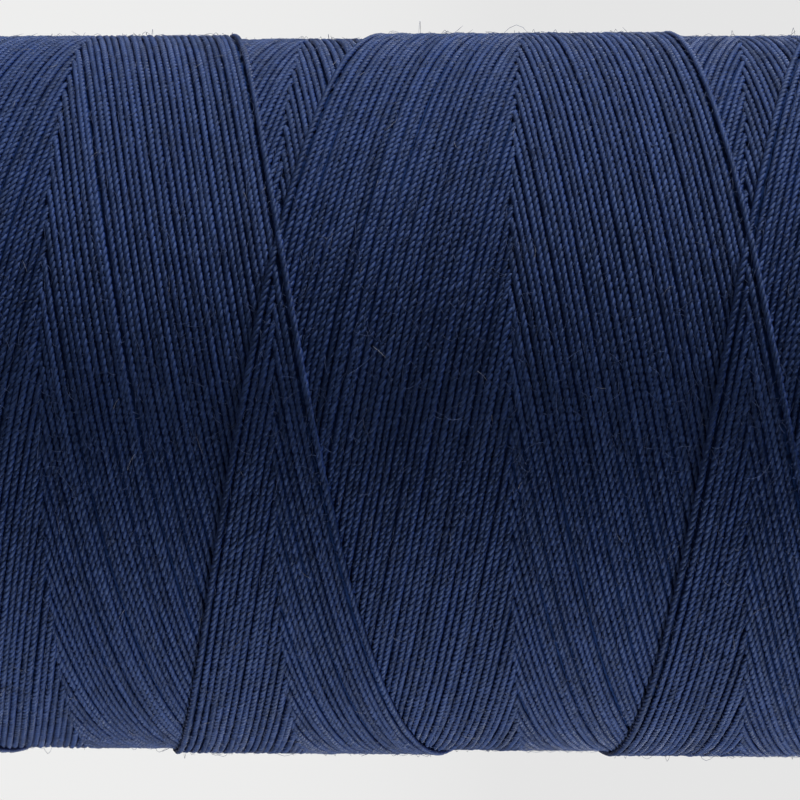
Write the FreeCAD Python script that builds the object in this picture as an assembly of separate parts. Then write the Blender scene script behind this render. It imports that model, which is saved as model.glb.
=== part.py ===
import FreeCAD, Part
import math
import os

# Spool of sewing thread, standing upright on its snap base.
# Millimetres. +Z runs up the spool's axis. The origin is the centre of the base's resting face.

# Driving dimensions
thread_diameter = 28.4      # outside of the wound thread, over its newest turns
winding_length = 58.5       # thread between the two flanges
flange_diameter = 30.0      # head flange, lock flange and snap base
flange_thickness = 1.6
base_height = 4.0           # snap base, from the resting face to its rim
barrel_diameter = 13.0      # the tube that the thread is wound on
barrel_wall = 1.2
pin_bore_diameter = 7.2     # takes a sewing machine's spool pin
snap_travel = 2.5           # how far the base pulls out to free the thread's end
winding_clearance = 0.15    # thread to each flange
running_clearance = 0.08    # base sleeve in the barrel's bore, on the radius
press_interference = 0.02   # head spigot in the barrel's bore, on the radius

# Wall sizes of the mouldings
edge_rounding = 0.4
parting_chamfer = 0.35      # the two edges that meet where the base closes
recess_depth = 0.35         # label recesses in the head and the base
rim_ring_inner_radius = 13.2
hub_ring_outer_radius = 4.8
hub_lift = 0.1              # the base's hub ring stands clear of the surface
base_floor_top = 1.6
base_wall = 1.4
web_thickness = 0.9
web_top = 3.0
web_count = 6

# Grip of the snap base
flute_count = 40
flute_radius = 0.7
flute_depth = 0.2
flute_bottom = 0.9
flute_top = 3.0
nail_notch_count = 2
nail_notch_width = 7.0
nail_notch_depth = 0.8
nail_notch_bottom = 3.0

# Sleeve of the snap base and its detent
hub_bore_top = 5.0          # the pin bore proper; above it the sleeve is thinned to flex
finger_wall = 0.9
sleeve_top = 15.0
sleeve_slot_width = 0.9
sleeve_slot_start = 6.0
sleeve_slot_count = 4
bead_height = 0.35
bead_bottom = 10.6
bead_land = 0.5
groove_clearance = 0.1
groove_end_clearance = 0.15

# Head spigot
spigot_length = 7.0
spigot_lead_in = 0.4

# Barrel details
grip_rib_count = 12
grip_rib_width = 0.5
grip_rib_height = 0.2
grip_rib_margin = 1.0
stiffener_count = 6
stiffener_width = 0.9
stiffener_height = 1.0
stiffener_margin = 1.5
lock_ring_outer_radius = 13.35
lock_ring_wall = 0.8
lock_ring_depth = 0.8

# Labels
label_thickness = 0.12
label_margin = 0.25

# Thread
thread_bore_clearance = 0.05
thread_end_rounding = 0.4

# Worked out from the driving dimensions
flange_radius = flange_diameter / 2
barrel_radius = barrel_diameter / 2
bore_radius = barrel_radius - barrel_wall
pin_bore_radius = pin_bore_diameter / 2
sleeve_radius = bore_radius - running_clearance
finger_inner_radius = sleeve_radius - finger_wall
lock_flange_bottom = base_height
lock_flange_top = lock_flange_bottom + flange_thickness
thread_bottom = lock_flange_top + winding_clearance
thread_top = thread_bottom + winding_length
head_bottom = thread_top + winding_clearance
head_top = head_bottom + flange_thickness

AXIS_POINT = FreeCAD.Vector(0, 0, 0)
UP = FreeCAD.Vector(0, 0, 1)


def turned(points):
    """Solid of revolution about Z from a closed outline of (radius, height) points."""
    corners = [FreeCAD.Vector(radius, 0, height) for radius, height in points]
    outline = Part.makePolygon(corners + [corners[0]])
    return Part.Face(outline).revolve(AXIS_POINT, UP, 360)


def ring(inner_radius, outer_radius, bottom, top):
    """Plain ring between two radii and two heights."""
    outer = Part.makeCylinder(outer_radius, top - bottom, FreeCAD.Vector(0, 0, bottom))
    inner = Part.makeCylinder(inner_radius, top - bottom, FreeCAD.Vector(0, 0, bottom))
    return outer.cut(inner)


def spokes(count, width, inner_radius, outer_radius, bottom, top):
    """Evenly spaced upright walls that point away from the axis."""
    walls = []
    for index in range(count):
        corner = FreeCAD.Vector(inner_radius, -width / 2, bottom)
        wall = Part.makeBox(outer_radius - inner_radius, width, top - bottom, corner)
        wall.rotate(AXIS_POINT, UP, 360.0 * index / count)
        walls.append(wall)
    return walls


def circles_at(shape, radius, height):
    """Full-circle edges of one radius at one height."""
    found = []
    for edge in shape.Edges:
        curve = edge.Curve
        if not isinstance(curve, Part.Circle):
            continue
        if abs(curve.Radius - radius) < 0.001 and abs(curve.Center.z - height) < 0.001:
            found.append(edge)
    return found


def make_core_tube():
    """Barrel with the fixed lock flange at its foot, a detent groove and moulded ribs."""
    bead_radius = sleeve_radius + bead_height
    groove_radius = bead_radius + groove_clearance
    groove_slope = groove_radius - bore_radius
    groove_bottom = bead_bottom + running_clearance - snap_travel - groove_end_clearance
    groove_top = bead_bottom + 2 * bead_height + bead_land + groove_end_clearance
    lock_ring_bottom = lock_flange_bottom - lock_ring_depth
    lock_ring_inner_radius = lock_ring_outer_radius - lock_ring_wall
    tube = turned([
        (bore_radius, lock_flange_bottom),
        (lock_ring_inner_radius, lock_flange_bottom),
        (lock_ring_inner_radius, lock_ring_bottom),
        (lock_ring_outer_radius, lock_ring_bottom),
        (lock_ring_outer_radius, lock_flange_bottom),
        (flange_radius - parting_chamfer, lock_flange_bottom),
        (flange_radius, lock_flange_bottom + parting_chamfer),
        (flange_radius, lock_flange_top),
        (barrel_radius, lock_flange_top),
        (barrel_radius, head_bottom),
        (bore_radius, head_bottom),
        (bore_radius, groove_top),
        (groove_radius, groove_top - groove_slope),
        (groove_radius, groove_bottom + groove_slope),
        (bore_radius, groove_bottom),
    ])
    tube = tube.makeFillet(edge_rounding, circles_at(tube, flange_radius, lock_flange_top))
    root = 0.3
    grip_ribs = spokes(
        grip_rib_count, grip_rib_width, barrel_radius - root, barrel_radius + grip_rib_height,
        lock_flange_top + grip_rib_margin, head_bottom - grip_rib_margin)
    stiffeners = spokes(
        stiffener_count, stiffener_width, bore_radius - stiffener_height, bore_radius + root,
        sleeve_top + stiffener_margin, head_bottom - spigot_length - stiffener_margin)
    return tube.fuse(grip_ribs + stiffeners).removeSplitter()


def make_head_cap():
    """Head flange with the spigot that presses into the top of the barrel."""
    spigot_radius = bore_radius + press_interference
    spigot_bottom = head_bottom - spigot_length
    recess_floor = head_top - recess_depth
    cap = turned([
        (pin_bore_radius, spigot_bottom),
        (spigot_radius - spigot_lead_in, spigot_bottom),
        (spigot_radius, spigot_bottom + spigot_lead_in),
        (spigot_radius, head_bottom),
        (flange_radius, head_bottom),
        (flange_radius, head_top),
        (rim_ring_inner_radius, head_top),
        (rim_ring_inner_radius, recess_floor),
        (hub_ring_outer_radius, recess_floor),
        (hub_ring_outer_radius, head_top),
        (pin_bore_radius, head_top),
    ])
    rim = circles_at(cap, flange_radius, head_bottom) + circles_at(cap, flange_radius, head_top)
    return cap.makeFillet(edge_rounding, rim)


def grip_flutes():
    """Shallow upright flutes around the outside of the snap base."""
    centre_radius = flange_radius + flute_radius - flute_depth
    flutes = []
    for index in range(flute_count):
        angle = 2 * math.pi * index / flute_count
        foot = FreeCAD.Vector(
            centre_radius * math.cos(angle), centre_radius * math.sin(angle), flute_bottom)
        flutes.append(Part.makeCylinder(flute_radius, flute_top - flute_bottom, foot))
    return flutes


def make_snap_base():
    """Cup-shaped base with webs, and a slotted sleeve whose bead snaps into the barrel."""
    cup = turned([
        (pin_bore_radius, hub_lift),
        (hub_ring_outer_radius, hub_lift),
        (hub_ring_outer_radius, recess_depth),
        (rim_ring_inner_radius, recess_depth),
        (rim_ring_inner_radius, 0),
        (flange_radius, 0),
        (flange_radius, base_height - parting_chamfer),
        (flange_radius - parting_chamfer, base_height),
        (flange_radius - base_wall, base_height),
        (flange_radius - base_wall, base_floor_top),
        (sleeve_radius, base_floor_top),
        (sleeve_radius, bead_bottom),
        (sleeve_radius + bead_height, bead_bottom + bead_height),
        (sleeve_radius + bead_height, bead_bottom + bead_height + bead_land),
        (sleeve_radius, bead_bottom + 2 * bead_height + bead_land),
        (sleeve_radius, sleeve_top - spigot_lead_in),
        (sleeve_radius - spigot_lead_in, sleeve_top),
        (finger_inner_radius, sleeve_top),
        (finger_inner_radius, hub_bore_top + finger_inner_radius - pin_bore_radius),
        (pin_bore_radius, hub_bore_top),
    ])
    cup = cup.makeFillet(edge_rounding, circles_at(cup, flange_radius, 0))
    webs = spokes(
        web_count, web_thickness, sleeve_radius - 0.3, flange_radius - base_wall + 0.3,
        base_floor_top - 0.3, web_top)
    slots = spokes(
        sleeve_slot_count, sleeve_slot_width, finger_inner_radius - 0.3, sleeve_radius + 1.0,
        sleeve_slot_start, sleeve_top + 1.0)
    for slot in slots:
        slot.rotate(AXIS_POINT, UP, 45)
    nail_notches = spokes(
        nail_notch_count, nail_notch_width, flange_radius - nail_notch_depth, flange_radius + 1.0,
        nail_notch_bottom, base_height + 1.0)
    cuts = Part.makeCompound(slots + nail_notches + grip_flutes())
    return cup.fuse(webs).cut(cuts).removeSplitter()


def make_label(bottom):
    """Blank ring of paper that fills a label recess."""
    inner_radius = hub_ring_outer_radius + label_margin
    outer_radius = rim_ring_inner_radius - label_margin
    return ring(inner_radius, outer_radius, bottom, bottom + label_thickness)


def make_thread_package():
    """Wound thread as one closed body, rounded where the turns reverse at each end."""
    outer_radius = thread_diameter / 2
    inner_radius = barrel_radius + grip_rib_height + thread_bore_clearance
    package = ring(inner_radius, outer_radius, thread_bottom, thread_top)
    ends = circles_at(package, outer_radius, thread_bottom)
    ends = ends + circles_at(package, outer_radius, thread_top)
    return package.makeFillet(thread_end_rounding, ends)


def main():
    parts = {
        "core_tube": make_core_tube(),
        "head_cap": make_head_cap(),
        "snap_base": make_snap_base(),
        "thread_package": make_thread_package(),
        "head_label": make_label(head_top - recess_depth),
        "base_label": make_label(recess_depth - label_thickness),
    }
    os.makedirs("parts", exist_ok=True)
    for name, shape in parts.items():
        solid = shape.Solids[0] if len(shape.Solids) == 1 else shape
        solid.exportStep("parts/" + name + ".step")
        box = solid.BoundBox
        print(name, "solids", len(shape.Solids), "valid", solid.isValid(),
              "volume", round(solid.Volume, 2), "z", round(box.ZMin, 3), round(box.ZMax, 3))


main()
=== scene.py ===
import math

import bpy
import numpy as np
from mathutils import Matrix, Vector


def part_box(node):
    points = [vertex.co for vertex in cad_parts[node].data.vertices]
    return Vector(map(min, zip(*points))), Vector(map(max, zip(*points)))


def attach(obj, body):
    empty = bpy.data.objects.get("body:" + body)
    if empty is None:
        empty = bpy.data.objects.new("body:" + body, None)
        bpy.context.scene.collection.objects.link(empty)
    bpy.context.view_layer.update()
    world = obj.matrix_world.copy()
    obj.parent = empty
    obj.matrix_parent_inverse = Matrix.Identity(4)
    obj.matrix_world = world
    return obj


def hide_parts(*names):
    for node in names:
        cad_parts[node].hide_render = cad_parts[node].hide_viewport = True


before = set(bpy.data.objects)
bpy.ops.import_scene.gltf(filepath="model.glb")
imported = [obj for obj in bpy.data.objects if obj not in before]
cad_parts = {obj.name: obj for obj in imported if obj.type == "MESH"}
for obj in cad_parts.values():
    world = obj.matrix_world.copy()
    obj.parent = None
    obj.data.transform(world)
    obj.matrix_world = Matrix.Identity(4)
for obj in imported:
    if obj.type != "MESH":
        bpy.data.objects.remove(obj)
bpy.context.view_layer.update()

# Spool of cross-wound navy sewing thread, upright on its snap base. Metres, same frame as the CAD.
# "along" is the distance up the package from its lower end; "theta" is the angle round the spool,
# 0 towards the camera (-Y) and growing towards -X, which is up in the picture.

MM = 0.001

# ---------------------------------------------------------------- the winding
PACKAGE_LOW, PACKAGE_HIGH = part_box("thread_package")
PACKAGE_BOTTOM = PACKAGE_LOW.z
PACKAGE_LENGTH = PACKAGE_HIGH.z - PACKAGE_LOW.z
PACKAGE_MIDDLE = PACKAGE_BOTTOM + PACKAGE_LENGTH / 2
PACKAGE_RADIUS = (PACKAGE_HIGH.x - PACKAGE_LOW.x) / 2
BARREL_HIGH_RADIUS = 6.75 * MM             # bore of the wound thread, over the barrel's ribs

CROSSINGS = 7                              # chevron spacings between the package's ends
STROKES = 67                               # double strokes that lay one full layer each way
CROSSING_SPACING = PACKAGE_LENGTH / CROSSINGS
STROKE_TURN = 2 * math.pi * (CROSSINGS + 1 / STROKES)      # rotation in one double stroke
STRAND_PITCH_ANGLE = 2 * math.pi / STROKES
FRONT_CROSSING = 4                         # the chevron where the two fronts meet, facing the camera
FRONT_CROSSING_THETA = math.radians(20.4)
LAYER = 0.175 * MM                         # what one layer adds to the radius
REVERSAL = 0.0134                          # rounding of the stroke's ends, as a share of a radian
SHOULDER_DROP = 0.35 * MM                  # the package rounds off at its ends
SHOULDER_LENGTH = 1.3 * MM

# ---------------------------------------------------------------- the thread itself
STRAND_HALF_WIDTH = 0.128 * MM
STRAND_HALF_HEIGHT = 0.113 * MM
TWIST_LENGTH = 0.900 * MM                  # one full turn of the three plies, Z twist
RINGS_PER_TWIST = 6
PLY_ANGLES = (-32.0, 32.0, 60.0)           # two shoulders and a valley, from each ply's middle
PLY_RADII = (1.0, 1.0, 0.75)
PLIES = 3
RING_SIDES = PLIES * len(PLY_ANGLES)
SURFACE_LOW = PACKAGE_RADIUS - STRAND_HALF_HEIGHT - 2 * LAYER   # strand centres before the last layer
SEED = 7

THREAD_PIECES = 16
DIVE = 0.7                                 # how deep a covered strand goes, in layers
DIVE_LENGTH = 0.8                          # it takes this many strand spacings to go under
HIDDEN_BELOW = 0.007                       # a strand less uncovered than this isn't modelled

# small unevenness of the winding; the wavelengths are distances along the thread
SPREAD_LIMIT = 1.8                         # no strand is further out than this many deviations
STRAND_SHIFT = 0.070                       # sideways, in strand spacings, a strand as a whole
LONG_SHIFT, LONG_SHIFT_WAVE = 0.060, 22 * MM
SHORT_SHIFT, SHORT_SHIFT_WAVE = 0.035, 4 * MM
NEWEST_SHIFT = 0.26                        # the newest strands stand a little apart
STRAND_LIFT = 0.008 * MM                   # outwards
LONG_LIFT, LONG_LIFT_WAVE = 0.008 * MM, 9 * MM
SHORT_LIFT, SHORT_LIFT_WAVE = 0.004 * MM, 1.6 * MM
NEWEST_LIFT = 0.020 * MM
STRAND_SHADE = 0.11                        # paler and darker thread, round a middle of 0.5
LONG_SHADE, LONG_SHADE_WAVE = 0.10, 14 * MM
SHORT_SHADE, SHORT_SHADE_WAVE = 0.14, 0.6 * MM
TWIST_DRIFT, TWIST_DRIFT_WAVE = 1.2, 6 * MM
PLUMPNESS, PLUMPNESS_WAVE = 0.03, 3 * MM
PLY_PLUMPNESS, PLY_PLUMPNESS_WAVE = 0.05, 0.5 * MM
END_STEADY = 2 * MM                        # the sideways shift fades out this near the ends

# the layers under the visible strands
BODY_ROWS = 240
BODY_COLUMNS = 360
BODY_DEPTH = 0.072 * MM                    # their surface lies this far under the strand centres
BODY_END_GAP = 0.05 * MM

# ---------------------------------------------------------------- the thread's fuzz
FIBRES = 30000
WISPS = 110                                # the few long ones that stand clear of the fuzz
FIBRE_PIECES = 6
FIBRE_RINGS = 5
FIBRE_SIDES = 3
FIBRE_RADIUS = 0.008 * MM
FIBRE_TIP = 0.5                            # thickness of a fibre's two ends, as a share
FIBRE_CLEAR_OF_ENDS = 1.2 * MM
FIBRE_ROOT = 0.75 * STRAND_HALF_HEIGHT - 0.02 * MM     # above the strand centres
FIBRE_LENGTHS = (0.25, 0.90)               # millimetres, shortest and longest
WISP_LENGTHS = (0.7, 1.5)
FIBRE_LOFT, FIBRE_LOFT_LIMIT = 0.045, 0.25             # millimetres, average and highest
WISP_LOFTS = (0.25, 0.70)
FIBRE_STRAY = 0.40                         # radians away from the strands' directions
FIBRE_BEND = 0.8                           # radians along a fibre
WISP_BEND_SHARE = 0.5
LOOP_SHARE = 0.45                          # the rest have one end free
WISP_TONE = 0.975                          # wisps are among the paler fibres

# ---------------------------------------------------------------- looks
LABEL_REACH = 15.0                         # millimetres, the printing's scale of radius
LABEL_RINGS = ((5.9, 6.2), (11.2, 12.3))   # inner and outer radius of each printed ring
PLASTIC = (0.61, 0.60, 0.565)
PLASTIC_ROUGHNESS = 0.36
INK = (0.020, 0.036, 0.110)
BACKDROP = (0.785, 0.785, 0.785)
# painted light: the floor's own glow near the spool, brighter than the backdrop
NEAR_BACKDROP = (0.870, 0.870, 0.865)
FLOOR = (0.62, 0.62, 0.61)
FLOOR_SIZE = 12.0
FLOOR_FADE = (0.025, 0.060)                # its shadows fade out between these distances
FLOOR_GLOW = (0.04, 0.60)                  # its own light goes from NEAR_BACKDROP to BACKDROP here
FLOOR_GLOW_SHARE = 0.50                    # of the nearest floor's brightness
WORLD_FILL = 0.20
LIGHTS = (                                 # name, place, size in metres, power in watts
    ("softbox_left", (-0.40, -0.022, 0.20), (0.20, 0.10), 3.05),
    ("softbox_right", (0.42, -0.022, 0.13), (0.20, 0.10), 2.15),
    ("rim_left", (-0.26, 0.33, 0.12), (0.30, 0.10), 0.5),
    ("rim_right", (0.26, 0.33, 0.12), (0.30, 0.10), 0.6),
    ("softbox_top", (0.0, 0.30, 0.50), (0.25, 0.25), 0.5))
CAMERA_DISTANCE = 145.5 * MM
CAMERA_LENS = 167.2
CAMERA_RISE = 0.63 * MM                    # the camera's height above the package's middle
VIEW_BELOW = 9.67 * MM                     # the view is aimed this far below the camera's height
VIEW_ASIDE = 0.24 * MM                     # and this far to the side of the spool's axis


def smoothstep(value):
    """0 to 1 with level ends."""
    t = np.clip(value, 0.0, 1.0)
    return t * t * (3 - 2 * t)


def stroke_position(turned):
    """Distance along the package after a rotation, for a rounded to-and-fro stroke."""
    sharpness = 1 - REVERSAL ** 2 / 2
    phase = 2 * math.pi * turned / STROKE_TURN - math.pi / 2
    swing = np.arcsin(sharpness * np.sin(phase)) / math.asin(sharpness)
    return PACKAGE_LENGTH / 2 * (1 + swing)


ANGLE_PER_METRE = STROKE_TURN / (2 * PACKAGE_LENGTH) * (1 - 2 * REVERSAL / math.pi)


def newest_up(along):
    """Angle of the newest upward strand at a distance along the package, before ROTATION."""
    return STROKE_TURN / 4 + (along - PACKAGE_LENGTH / 2) * ANGLE_PER_METRE - STROKE_TURN


def newest_down(along):
    """The same for the newest downward strand."""
    return STROKE_TURN * 3 / 4 - (along - PACKAGE_LENGTH / 2) * ANGLE_PER_METRE - STROKE_TURN


ROTATION = FRONT_CROSSING_THETA - newest_up(FRONT_CROSSING * CROSSING_SPACING)


def strands_back(front, theta):
    """How many strands behind its front a place lies, from 0 to STROKES."""
    return np.mod(front + ROTATION - theta, 2 * math.pi) / STRAND_PITCH_ANGLE


def shoulder(along):
    """How far the package's rounded ends drop below its cylinder."""
    from_end = np.minimum(along, PACKAGE_LENGTH - along)
    return SHOULDER_DROP * np.clip(1 - from_end / SHOULDER_LENGTH, 0, 1) ** 2


def slow_noise(rng, count, step, wavelength):
    """Smooth random values, one per sample, that change over about a wavelength."""
    knots = max(4, int(count * step / wavelength) + 3)
    values = rng.normal(size=knots)
    places = np.linspace(0, knots - 1.001, count)
    low = np.floor(places).astype(int)
    high = np.minimum(low + 1, knots - 1)
    return values[low] + (values[high] - values[low]) * smoothstep(places - low)


def wind_thread():
    """Centre line of the last full cycle of thread, one continuous path, oldest end first.

    Returns a dictionary of arrays, one value per ring of the thread's mesh."""
    rng = np.random.default_rng(SEED)
    ring_step = TWIST_LENGTH / RINGS_PER_TWIST
    advance = 1 / ANGLE_PER_METRE
    turn_step = ring_step / math.hypot(PACKAGE_RADIUS, advance)
    turned = np.arange(-STROKES * STROKE_TURN, 0, turn_step)
    count = len(turned)
    along = stroke_position(turned)
    stroke = np.floor(turned / STROKE_TURN)
    back = np.clip(-1 - stroke, 0, STROKES - 1)
    upward = (turned - stroke * STROKE_TURN) < STROKE_TURN / 2
    theta = turned + ROTATION

    other_front = np.where(upward, newest_down(along), newest_up(along))
    other_back = strands_back(other_front, theta)
    # which strands of the other family are newer and so lie over this one
    uncovered = np.where(upward, other_back - back, other_back - back + 1)
    near_turn = np.where(upward, PACKAGE_LENGTH - along, along) < CROSSING_SPACING / 2
    uncovered = np.where(near_turn & (other_back < STROKES - 1), 1.0, uncovered)
    ahead = STROKES - other_back
    ahead = np.where(~upward & (back == 0), 1.0, ahead)
    on_top = smoothstep(np.minimum(uncovered, ahead) / DIVE_LENGTH)
    other_stack = np.maximum(1 - other_back / STROKES, smoothstep(other_back - (STROKES - 1)))
    stack = (1 - back / STROKES) + other_stack - DIVE * (1 - on_top)

    def wander(wavelength):
        return slow_noise(rng, count, ring_step, wavelength)

    per_stroke = (2 * back + (~upward)).astype(int)
    strand_shift = np.clip(rng.normal(size=2 * STROKES), -SPREAD_LIMIT, SPREAD_LIMIT)
    strand_lift = np.clip(rng.normal(size=2 * STROKES), -SPREAD_LIMIT, SPREAD_LIMIT)
    strand_shade = rng.normal(size=2 * STROKES)
    pitch = 2 * CROSSING_SPACING / STROKES
    shift = (
        STRAND_SHIFT * strand_shift[per_stroke]
        + LONG_SHIFT * wander(LONG_SHIFT_WAVE)
        + SHORT_SHIFT * wander(SHORT_SHIFT_WAVE))
    lift = (
        STRAND_LIFT * strand_lift[per_stroke]
        + LONG_LIFT * wander(LONG_LIFT_WAVE)
        + SHORT_LIFT * wander(SHORT_LIFT_WAVE))
    newest = back == 0
    shift = shift + np.where(newest, np.where(upward, -NEWEST_SHIFT, NEWEST_SHIFT), 0.0)
    lift = lift + np.where(newest, NEWEST_LIFT, 0.0)
    radius = SURFACE_LOW + LAYER * stack - shoulder(along) + lift
    steady = smoothstep(np.minimum(along, PACKAGE_LENGTH - along) / END_STEADY)
    height = PACKAGE_BOTTOM + along + shift * pitch * steady
    shade = (
        0.5 + STRAND_SHADE * strand_shade[per_stroke]
        + LONG_SHADE * wander(LONG_SHADE_WAVE)
        + SHORT_SHADE * wander(SHORT_SHADE_WAVE))
    twist = 2 * math.pi * np.arange(count) / RINGS_PER_TWIST
    twist = twist + TWIST_DRIFT * wander(TWIST_DRIFT_WAVE)
    plump = 1 + PLUMPNESS * wander(PLUMPNESS_WAVE)
    ply_plump = [plump + PLY_PLUMPNESS * wander(PLY_PLUMPNESS_WAVE) for ply in range(PLIES)]
    return {
        "theta": theta, "radius": radius, "height": height, "on_top": on_top,
        "shade": np.clip(shade, 0, 1), "twist": twist, "plump": ply_plump,
        "length": np.arange(count) * ring_step}


def ring_points(path):
    """Vertices of every ring round the path, the same points in the strand's own space, and
    how near to the package's outside each one lies."""
    theta, radius, height = path["theta"], path["radius"], path["height"]
    outward = np.stack([-np.sin(theta), -np.cos(theta), np.zeros_like(theta)], axis=1)
    centre = outward * radius[:, None]
    centre[:, 2] = height
    tangent = np.gradient(centre, axis=0)
    tangent /= np.linalg.norm(tangent, axis=1)[:, None]
    normal = outward - np.sum(outward * tangent, axis=1)[:, None] * tangent
    normal /= np.linalg.norm(normal, axis=1)[:, None]
    side = np.cross(tangent, normal)
    points = np.empty((len(theta), RING_SIDES, 3))
    space = np.empty((len(theta), RING_SIDES, 3))
    crest = np.empty((len(theta), RING_SIDES))
    for ply in range(PLIES):
        for place, (angle, reach) in enumerate(zip(PLY_ANGLES, PLY_RADII)):
            column = ply * len(PLY_ANGLES) + place
            turn = path["twist"] + math.radians(angle + 360 / PLIES * ply)
            up = (np.cos(turn) * reach * path["plump"][ply])[:, None]
            out = (np.sin(turn) * reach * path["plump"][ply])[:, None]
            points[:, column] = (
                centre + normal * up * STRAND_HALF_HEIGHT + side * out * STRAND_HALF_WIDTH)
            crest[:, column] = 0.5 + 0.5 * np.cos(turn)
            own = math.radians(angle + 360 / PLIES * ply)
            space[:, column, 0] = math.cos(own) * reach
            space[:, column, 1] = math.sin(own) * reach
            space[:, column, 2] = path["length"] / STRAND_HALF_WIDTH
    return points, space, crest


def visible_runs(on_top):
    """(first, last) ring of each stretch of thread that isn't buried under newer strands."""
    shown = on_top > HIDDEN_BELOW
    edges = np.flatnonzero(np.diff(shown.astype(int)))
    starts = [0] if shown[0] else []
    starts = starts + list(edges[~shown[edges]] + 1)
    ends = list(edges[shown[edges]] + 1)
    if shown[-1]:
        ends = ends + [len(shown)]
    return [(a, b) for a, b in zip(starts, ends) if b - a > 3]


def tube_mesh(name, runs, points):
    """One mesh of closed tubes, a tube for each run of rings, and the ring each vertex row is from."""
    sides = points.shape[1]
    column = np.arange(sides)
    following = (column + 1) % sides
    ring_blocks, quad_blocks, cap_blocks = [], [], []
    offset = 0
    for first, last in runs:
        count = last - first
        ring_blocks.append(np.arange(first, last))
        ring = offset + np.arange(count - 1)[:, None] * sides
        quads = np.stack([
            ring + column, ring + following,
            ring + following + sides, ring + column + sides], axis=2)
        quad_blocks.append(quads.reshape(-1, 4))
        cap_blocks.append(offset + column[::-1])
        cap_blocks.append(offset + (count - 1) * sides + column)
        offset += count * sides
    rings = np.concatenate(ring_blocks)
    quads = np.concatenate(quad_blocks)
    caps = np.stack(cap_blocks)
    mesh = bpy.data.meshes.new(name)
    mesh.vertices.add(offset)
    mesh.vertices.foreach_set("co", points[rings].astype(np.float32).ravel())
    corners = np.concatenate([quads.ravel(), caps.ravel()])
    mesh.loops.add(len(corners))
    mesh.loops.foreach_set("vertex_index", corners.astype(np.int32))
    sizes = np.concatenate([np.full(len(quads), 4), np.full(len(caps), sides)])
    starts = np.concatenate([[0], np.cumsum(sizes)[:-1]])
    mesh.polygons.add(len(sizes))
    mesh.polygons.foreach_set("loop_start", starts.astype(np.int32))
    mesh.update(calc_edges=True)
    mesh.validate()
    return mesh, rings


def mark_valleys(mesh):
    """Sharp edges along the grooves between plies, so that each ply shades as its own roll."""
    edges = np.empty(len(mesh.edges) * 2, np.int32)
    mesh.edges.foreach_get("vertices", edges)
    ends = edges.reshape(-1, 2) % RING_SIDES
    valley = len(PLY_ANGLES) - 1
    groove = (ends[:, 0] == ends[:, 1]) & (ends[:, 0] % len(PLY_ANGLES) == valley)
    attribute = mesh.attributes.new("sharp_edge", "BOOLEAN", "EDGE")
    attribute.data.foreach_set("value", groove)


def add_attribute(mesh, name, kind, values):
    """One value per vertex, for the materials to read."""
    attribute = mesh.attributes.new(name, kind, "POINT")
    key = "vector" if kind == "FLOAT_VECTOR" else "value"
    attribute.data.foreach_set(key, np.asarray(values, np.float32).ravel())


def link(name, mesh):
    """A new object in the scene for the mesh."""
    piece = bpy.data.objects.new(name, mesh)
    bpy.context.scene.collection.objects.link(piece)
    return piece


def make_strands(material):
    """The visible outer cycle of thread, split along its length into pieces of similar size."""
    path = wind_thread()
    points, space, crest = ring_points(path)
    runs = visible_runs(path["on_top"])
    rings_each = sum(b - a for a, b in runs) / THREAD_PIECES
    groups = [[]]
    filled = 0
    for first, last in runs:
        if filled > rings_each and len(groups) < THREAD_PIECES:
            groups.append([])
            filled = 0
        groups[-1].append((first, last))
        filled += last - first
    pieces = []
    for number, group in enumerate(groups, start=1):
        name = f"thread_turns_{number:02d}"
        mesh, rings = tube_mesh(name, group, points)
        mark_valleys(mesh)
        add_attribute(mesh, "strand_space", "FLOAT_VECTOR", space[rings])
        add_attribute(mesh, "shade", "FLOAT", np.repeat(path["shade"][rings], RING_SIDES))
        # crest and valley are read by the thread material for its painted shade
        add_attribute(mesh, "crest", "FLOAT", crest[rings])
        valley = np.tile(np.array(PLY_RADII * PLIES) < 1, len(rings))
        add_attribute(mesh, "valley", "FLOAT", valley.astype(float))
        mesh.materials.append(material)
        pieces.append(link(name, mesh))
    return pieces


def surface_radius(along, theta):
    """Radius of the strand centres on top of the package."""
    up = strands_back(newest_up(along), theta) / STROKES
    down = strands_back(newest_down(along), theta) / STROKES
    return SURFACE_LOW + LAYER * (2 - up - down) - shoulder(along)


def make_buried_turns(material):
    """The layers under the visible strands, as one closed body with the barrel's bore."""
    along = np.linspace(BODY_END_GAP, PACKAGE_LENGTH - BODY_END_GAP, BODY_ROWS)
    theta = np.linspace(0, 2 * math.pi, BODY_COLUMNS, endpoint=False)
    outer = surface_radius(along[:, None], theta[None, :]) - BODY_DEPTH
    ends = np.array([along[-1], along[0]])
    inner = np.full((2, BODY_COLUMNS), BARREL_HIGH_RADIUS)
    radius = np.concatenate([outer, inner])
    height = PACKAGE_BOTTOM + np.concatenate([along, ends])
    points = np.empty(radius.shape + (3,))
    points[..., 0] = -np.sin(theta) * radius
    points[..., 1] = -np.cos(theta) * radius
    points[..., 2] = height[:, None]
    rows = len(radius)
    column = np.arange(BODY_COLUMNS)
    following = (column + 1) % BODY_COLUMNS
    faces = []
    for row in range(rows):
        here, there = row * BODY_COLUMNS, (row + 1) % rows * BODY_COLUMNS
        faces.append(np.stack(
            [here + column, there + column, there + following, here + following], axis=1))
    mesh = bpy.data.meshes.new("thread_buried_turns")
    mesh.from_pydata(points.reshape(-1, 3).tolist(), [], np.concatenate(faces).tolist())
    mesh.polygons.foreach_set("use_smooth", np.ones(len(mesh.polygons), bool))
    mesh.materials.append(material)
    return link("thread_buried_turns", mesh)


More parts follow.
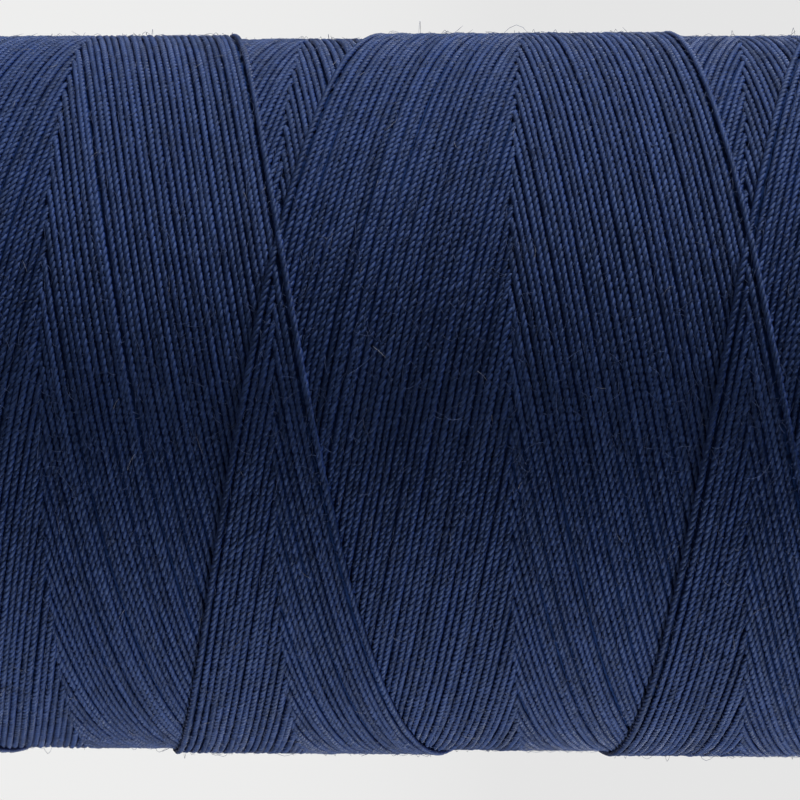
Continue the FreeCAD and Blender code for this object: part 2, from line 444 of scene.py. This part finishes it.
def fibre_lines(rng):
    """Centre lines of the loose fibres: loops and free ends that stand a little off the thread."""
    root_theta = rng.uniform(0, 2 * math.pi, FIBRES)
    root_along = rng.uniform(FIBRE_CLEAR_OF_ENDS, PACKAGE_LENGTH - FIBRE_CLEAR_OF_ENDS, FIBRES)
    lean = rng.choice([-1.0, 1.0], FIBRES) * math.atan(1 / (ANGLE_PER_METRE * PACKAGE_RADIUS))
    heading = lean + rng.normal(0, FIBRE_STRAY, FIBRES) + rng.choice([0.0, math.pi], FIBRES)
    wisp = np.arange(FIBRES) < WISPS
    wisp_length = rng.uniform(*WISP_LENGTHS, FIBRES)
    length = np.where(wisp, wisp_length, rng.uniform(*FIBRE_LENGTHS, FIBRES)) * MM
    bend = rng.normal(0, FIBRE_BEND, FIBRES) * np.where(wisp, WISP_BEND_SHARE, 1.0)
    close = np.minimum(rng.exponential(FIBRE_LOFT, FIBRES), FIBRE_LOFT_LIMIT)
    loft = np.where(wisp, rng.uniform(*WISP_LOFTS, FIBRES), close) * MM
    loops = rng.random(FIBRES) < LOOP_SHARE
    part = np.linspace(0, 1, FIBRE_RINGS)
    turn = heading[:, None] + bend[:, None] * part
    step = length[:, None] / (FIBRE_RINGS - 1)
    round_spool = np.cumsum(np.cos(turn) * step, axis=1) - np.cos(turn[:, :1]) * step
    up_spool = np.cumsum(np.sin(turn) * step, axis=1) - np.sin(turn[:, :1]) * step
    theta = root_theta[:, None] + round_spool / PACKAGE_RADIUS
    along = np.clip(root_along[:, None] + up_spool, 0, PACKAGE_LENGTH)
    rise = np.where(loops[:, None], np.sin(math.pi * part), part ** 1.6)
    radius = surface_radius(along, theta) + FIBRE_ROOT + loft[:, None] * rise
    return np.stack([
        -np.sin(theta) * radius, -np.cos(theta) * radius, PACKAGE_BOTTOM + along], axis=2)


def make_fuzz(material):
    """Fine loose fibres all over the package, as thin closed tubes."""
    rng = np.random.default_rng(SEED + 1)
    line = fibre_lines(rng)
    tangent = np.gradient(line, axis=1)
    tangent /= np.linalg.norm(tangent, axis=2)[..., None]
    outward = line * np.array([1.0, 1.0, 0.0])
    outward /= np.linalg.norm(outward, axis=2)[..., None]
    side = np.cross(tangent, outward)
    side /= np.linalg.norm(side, axis=2)[..., None]
    up = np.cross(side, tangent)
    corner = 2 * math.pi * np.arange(FIBRE_SIDES) / FIBRE_SIDES
    ring = (
        up[:, :, None, :] * np.cos(corner)[:, None]
        + side[:, :, None, :] * np.sin(corner)[:, None])
    taper = np.array([FIBRE_TIP] + [1.0] * (FIBRE_RINGS - 2) + [FIBRE_TIP])
    points = line[:, :, None, :] + ring * FIBRE_RADIUS * taper[:, None, None]
    points = points.reshape(-1, FIBRE_SIDES, 3)
    tone = np.maximum(rng.random(FIBRES), np.where(np.arange(FIBRES) < WISPS, WISP_TONE, 0.0))
    tone = np.repeat(tone, FIBRE_RINGS)
    pieces = []
    for number in range(FIBRE_PIECES):
        name = f"thread_fuzz_{number + 1:02d}"
        fibres = range(number, FIBRES, FIBRE_PIECES)
        runs = [(f * FIBRE_RINGS, (f + 1) * FIBRE_RINGS) for f in fibres]
        mesh, rings = tube_mesh(name, runs, points)
        add_attribute(mesh, "tone", "FLOAT", np.repeat(tone[rings], FIBRE_SIDES))
        mesh.polygons.foreach_set("use_smooth", np.ones(len(mesh.polygons), bool))
        mesh.materials.append(material)
        pieces.append(link(name, mesh))
    return pieces


# ---------------------------------------------------------------- materials
def new_material(name):
    """A material with its node tree and its Principled shader."""
    material = bpy.data.materials.new(name)
    material.use_nodes = True
    tree = material.node_tree
    return material, tree, tree.nodes["Principled BSDF"]


def node(tree, kind, **values):
    """A new node; each value is one of its settings or, by name, one of its inputs."""
    made = tree.nodes.new(kind)
    for key, value in values.items():
        if hasattr(made, key):
            setattr(made, key, value)
        else:
            made.inputs[key.replace("_", " ")].default_value = value
    return made


def ramp(tree, source, stops, interpolation="LINEAR"):
    """Colour socket of a ramp over source; stops are (position, colour), at least two."""
    made = node(tree, "ShaderNodeValToRGB")
    made.color_ramp.interpolation = interpolation
    elements = made.color_ramp.elements
    for number, (position, colour) in enumerate(stops):
        stop = elements[number] if number < 2 else elements.new(position)
        stop.position = position
        stop.color = tuple(colour) + (1,)
    tree.links.new(source, made.inputs["Fac"])
    return made.outputs["Color"]


def rescale(tree, source, low, high):
    """Socket of source's 0 to 1 mapped to low to high."""
    made = node(tree, "ShaderNodeMapRange", To_Min=low, To_Max=high)
    tree.links.new(source, made.inputs["Value"])
    return made.outputs["Result"]


def multiply_colours(tree, first, second):
    """Colour socket of the product of two colour sockets."""
    made = node(tree, "ShaderNodeMix", data_type="RGBA", blend_type="MULTIPLY", Factor=1.0)
    tree.links.new(first, made.inputs["A"])
    tree.links.new(second, made.inputs["B"])
    return made.outputs["Result"]


def multiply_add(tree, source, factor, addend):
    """Socket of source times factor, plus the addend socket."""
    made = node(tree, "ShaderNodeMath", operation="MULTIPLY_ADD")
    made.inputs[1].default_value = factor
    tree.links.new(source, made.inputs[0])
    tree.links.new(addend, made.inputs[2])
    return made.outputs[0]


def stretch(tree, source, scale):
    """Vector socket of source scaled on each axis."""
    made = node(tree, "ShaderNodeVectorMath", operation="MULTIPLY")
    made.inputs[1].default_value = scale
    tree.links.new(source, made.inputs[0])
    return made.outputs[0]


def add_noise(tree, source, **values):
    """Value socket of a noise texture over source."""
    made = node(tree, "ShaderNodeTexNoise", **values)
    tree.links.new(source, made.inputs["Vector"])
    return made.outputs["Fac"]


def add_bump(tree, shader, height, strength, distance):
    """Fine relief on the shader from a height socket; distance is in metres."""
    made = node(tree, "ShaderNodeBump", Strength=strength, Distance=distance)
    tree.links.new(height, made.inputs["Height"])
    tree.links.new(made.outputs["Normal"], shader.inputs["Normal"])


def thread_material(name):
    """Mercerised cotton, navy, with painted shade: darker down the grooves between the plies and
    darker, bluer on each ply's sides, so that the crests are paler.
    """
    material, tree, shader = new_material(name)
    space = node(tree, "ShaderNodeAttribute", attribute_name="strand_space").outputs["Vector"]
    shade = node(tree, "ShaderNodeAttribute", attribute_name="shade").outputs["Fac"]
    valley = node(tree, "ShaderNodeAttribute", attribute_name="valley").outputs["Fac"]
    crest = node(tree, "ShaderNodeAttribute", attribute_name="crest").outputs["Fac"]
    along_fibres = stretch(tree, space, (3.0, 3.0, 0.35))
    fibres = add_noise(tree, along_fibres, Scale=1.8, Detail=4.0, Roughness=0.75)
    patches = add_noise(tree, space, Scale=0.7, Detail=3.0, Roughness=0.7)
    mottle = multiply_add(tree, patches, 1.8, shade)
    centred = node(tree, "ShaderNodeMath", operation="SUBTRACT")
    centred.inputs[1].default_value = 1.9  # brings the sum of the noises back round 0.5
    tree.links.new(mottle, centred.inputs[0])
    paleness = multiply_add(tree, fibres, 2.0, centred.outputs[0])
    navy = ramp(tree, paleness, [(0.1, (0.0062, 0.0172, 0.0610)), (0.9, (0.0252, 0.0495, 0.1450))])
    # painted shade: the grooves between the plies darkened to 0.72 of the navy
    groove_shaded = multiply_colours(tree, navy, rescale(tree, valley, 1.0, 0.72))
    # painted shade: each ply's sides and underside darker and bluer, its outward crest left paler as
    # if lit
    side_shade_painted = ramp(tree, crest, [(0.45, (0.22, 0.48, 1.0)), (0.98, (1.0, 1.0, 1.0))])
    tree.links.new(multiply_colours(tree, groove_shaded, side_shade_painted), shader.inputs["Base Color"])
    tree.links.new(rescale(tree, fibres, 0.5, 0.72), shader.inputs["Roughness"])
    add_bump(tree, shader, fibres, 0.6, 0.00001)
    shader.inputs["Specular IOR Level"].default_value = 0.22
    shader.inputs["Specular Tint"].default_value = (0.56, 0.72, 0.98, 1)
    return material


def buried_material(name):
    """Thread in the shade between the outer turns, with that shade painted in: a darker navy than the
    outer thread, with no gloss.
    """
    material, tree, shader = new_material(name)
    place = node(tree, "ShaderNodeTexCoord").outputs["Object"]
    lint = add_noise(tree, place, Scale=2500.0, Detail=3.0, Roughness=0.6)
    # painted shade: darker than the outer thread's navy, standing for the shade down in the gaps
    navy = ramp(tree, lint, [(0.35, (0.0066, 0.0190, 0.0680)), (0.70, (0.0122, 0.0310, 0.1100))])
    tree.links.new(navy, shader.inputs["Base Color"])
    shader.inputs["Roughness"].default_value = 0.9
    shader.inputs["Specular IOR Level"].default_value = 0.02
    return material


def fuzz_material(name):
    """Single loose fibres: thinner and so paler than the thread, a very few of them pale lint."""
    material, tree, shader = new_material(name)
    tone = node(tree, "ShaderNodeAttribute", attribute_name="tone").outputs["Fac"]
    colour = ramp(tree, tone, [
        (0.0, (0.014, 0.030, 0.100)), (0.98, (0.050, 0.080, 0.190)), (0.997, (0.22, 0.23, 0.28))])
    tree.links.new(colour, shader.inputs["Base Color"])
    shader.inputs["Roughness"].default_value = 0.6
    shader.inputs["Specular IOR Level"].default_value = 0.3
    return material


def moulding_material(name, colour, roughness):
    """Moulded polypropylene: faint flow mottling and a fine satin texture."""
    material, tree, shader = new_material(name)
    place = node(tree, "ShaderNodeTexCoord").outputs["Object"]
    mottle = add_noise(tree, place, Scale=180.0, Detail=4.0, Roughness=0.55)
    darker = [0.93 * channel for channel in colour]
    flow = ramp(tree, mottle, [(0.25, darker), (0.75, colour)])
    tree.links.new(flow, shader.inputs["Base Color"])
    satin = rescale(tree, mottle, roughness - 0.07, roughness + 0.09)
    tree.links.new(satin, shader.inputs["Roughness"])
    grain = add_noise(tree, place, Scale=6000.0, Detail=2.0)
    add_bump(tree, shader, grain, 0.15, 0.00002)
    shader.inputs["IOR"].default_value = 1.49
    return material


def printed_rings(tree, flat):
    """Socket that is 1 on the label's printed rings; flat is the place in millimetres."""
    distance = node(tree, "ShaderNodeVectorMath", operation="LENGTH")
    tree.links.new(flat, distance.inputs[0])
    share = node(tree, "ShaderNodeMath", operation="MULTIPLY")
    share.inputs[1].default_value = 1 / LABEL_REACH
    tree.links.new(distance.outputs["Value"], share.inputs[0])
    stops = [(0.0, (0, 0, 0))]
    for inner, outer in LABEL_RINGS:
        stops.append((inner / LABEL_REACH, (1, 1, 1)))
        stops.append((outer / LABEL_REACH, (0, 0, 0)))
    return ramp(tree, share.outputs[0], stops, "CONSTANT")


def paper_material(name):
    """Uncoated label paper with faint fibres and two plain printed rings in the thread's colour."""
    material, tree, shader = new_material(name)
    place = node(tree, "ShaderNodeTexCoord").outputs["Object"]
    flat = stretch(tree, place, (1 / MM, 1 / MM, 0.0))
    pulp = add_noise(tree, flat, Scale=6.0, Detail=5.0, Roughness=0.65)
    sheet = ramp(tree, pulp, [(0.30, (0.66, 0.65, 0.61)), (0.70, (0.76, 0.75, 0.71))])
    printed = node(tree, "ShaderNodeMix", data_type="RGBA")
    tree.links.new(printed_rings(tree, flat), printed.inputs["Factor"])
    tree.links.new(sheet, printed.inputs["A"])
    printed.inputs["B"].default_value = INK + (1,)
    tree.links.new(printed.outputs["Result"], shader.inputs["Base Color"])
    add_bump(tree, shader, pulp, 0.25, 0.00002)
    shader.inputs["Roughness"].default_value = 0.82
    shader.inputs["Specular IOR Level"].default_value = 0.3
    return material


def set_material(obj, material):
    """The material of a whole CAD node."""
    obj.data.materials.clear()
    obj.data.materials.append(material)


# ---------------------------------------------------------------- studio
def make_world():
    """The plain backdrop that the camera sees, and a weaker even light for everything else."""
    world = bpy.data.worlds.new("studio")
    bpy.context.scene.world = world
    world.use_nodes = True
    tree = world.node_tree
    tree.nodes.clear()
    out = node(tree, "ShaderNodeOutputWorld")
    seen = node(tree, "ShaderNodeBackground", Color=BACKDROP + (1,), Strength=1.0)
    fill = node(tree, "ShaderNodeBackground", Color=(1, 1, 1, 1), Strength=WORLD_FILL)
    path = node(tree, "ShaderNodeLightPath")
    mix = node(tree, "ShaderNodeMixShader")
    tree.links.new(path.outputs["Is Camera Ray"], mix.inputs["Fac"])
    tree.links.new(fill.outputs[0], mix.inputs[1])
    tree.links.new(seen.outputs[0], mix.inputs[2])
    tree.links.new(mix.outputs[0], out.inputs["Surface"])


def floor_material():
    """Pale table that glows with its own painted light, brighter near the spool, and fades into the
    plain backdrop away from the spool.
    """
    material = bpy.data.materials.new("floor")
    material.use_nodes = True
    tree = material.node_tree
    tree.nodes.clear()
    out = node(tree, "ShaderNodeOutputMaterial")
    lit = node(tree, "ShaderNodeBsdfDiffuse", Color=FLOOR + (1,))
    plain = node(tree, "ShaderNodeEmission", Strength=1.0)
    place = node(tree, "ShaderNodeTexCoord")
    distance = node(tree, "ShaderNodeVectorMath", operation="LENGTH")
    tree.links.new(place.outputs["Object"], distance.inputs[0])
    distance = distance.outputs["Value"]
    glow = ramp(tree, distance, list(zip(FLOOR_GLOW, (NEAR_BACKDROP, BACKDROP))), "B_SPLINE")
    tree.links.new(glow, plain.inputs["Color"])
    fade = node(
        tree, "ShaderNodeMapRange", interpolation_type="SMOOTHSTEP",
        From_Min=FLOOR_FADE[0], From_Max=FLOOR_FADE[1], To_Min=FLOOR_GLOW_SHARE)
    tree.links.new(distance, fade.inputs["Value"])
    mix = node(tree, "ShaderNodeMixShader")
    tree.links.new(fade.outputs["Result"], mix.inputs["Fac"])
    tree.links.new(lit.outputs[0], mix.inputs[1])
    tree.links.new(plain.outputs[0], mix.inputs[2])
    tree.links.new(mix.outputs[0], out.inputs["Surface"])
    return material


def make_floor():
    """The table: it takes shadows but throws no light back on the spool."""
    mesh = bpy.data.meshes.new("floor")
    half = FLOOR_SIZE / 2
    corners = [(-half, -half, 0), (half, -half, 0), (half, half, 0), (-half, half, 0)]
    mesh.from_pydata(corners, [], [(0, 1, 2, 3)])
    mesh.materials.append(floor_material())
    floor = link("floor", mesh)
    floor.visible_diffuse = False


def make_light(name, place, size, power):
    """Soft rectangular light aimed at the middle of the package."""
    data = bpy.data.lights.new(name, "AREA")
    data.shape = "RECTANGLE"
    data.size, data.size_y = size
    data.energy = power
    light = bpy.data.objects.new(name, data)
    light.location = place
    direction = Vector((0, 0, PACKAGE_MIDDLE)) - Vector(place)
    light.rotation_euler = direction.to_track_quat("-Z", "Y").to_euler()
    bpy.context.scene.collection.objects.link(light)


def make_camera():
    """At the height of the package's middle, rolled so that the spool lies across the picture."""
    data = bpy.data.cameras.new("camera")
    data.lens = CAMERA_LENS
    data.sensor_width = 36.0  # millimetres, as the lens is
    data.dof.use_dof = False
    data.clip_start, data.clip_end = 0.01, 50.0
    camera = bpy.data.objects.new("camera", data)
    height = PACKAGE_MIDDLE + CAMERA_RISE
    place = Vector((0, -CAMERA_DISTANCE, height))
    aim = Vector((VIEW_ASIDE, 0, height - VIEW_BELOW))
    backward = (place - aim).normalized()
    up = backward.cross(Vector((0, 0, 1))).normalized()
    right = up.cross(backward)
    camera.matrix_world = Matrix((
        (right.x, up.x, backward.x, place.x),
        (right.y, up.y, backward.y, place.y),
        (right.z, up.z, backward.z, place.z),
        (0, 0, 0, 1)))
    bpy.context.scene.collection.objects.link(camera)
    bpy.context.scene.camera = camera


def make_studio():
    bpy.context.scene.view_settings.view_transform = "Standard"
    make_camera()
    make_world()
    make_floor()
    for name, place, size, power in LIGHTS:
        make_light(name, place, size, power)


def make_thread():
    """Everything that stands for the CAD's plain thread package."""
    thread = thread_material("navy_thread")
    buried = buried_material("navy_thread_buried_shaded")
    fuzz = fuzz_material("navy_fuzz")
    pieces = make_strands(thread) + [make_buried_turns(buried)] + make_fuzz(fuzz)
    for piece in pieces:
        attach(piece, "spool")
        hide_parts("thread_package")


def finish_mouldings():
    """The CAD's own mouldings and labels, with their finished materials."""
    plastic = moulding_material("natural_moulding", PLASTIC, PLASTIC_ROUGHNESS)
    for name in ("core_tube", "head_cap", "snap_base"):
        set_material(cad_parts[name], plastic)
    paper = paper_material("label_paper")
    for name in ("head_label", "base_label"):
        set_material(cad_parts[name], paper)


make_studio()
make_thread()
finish_mouldings()
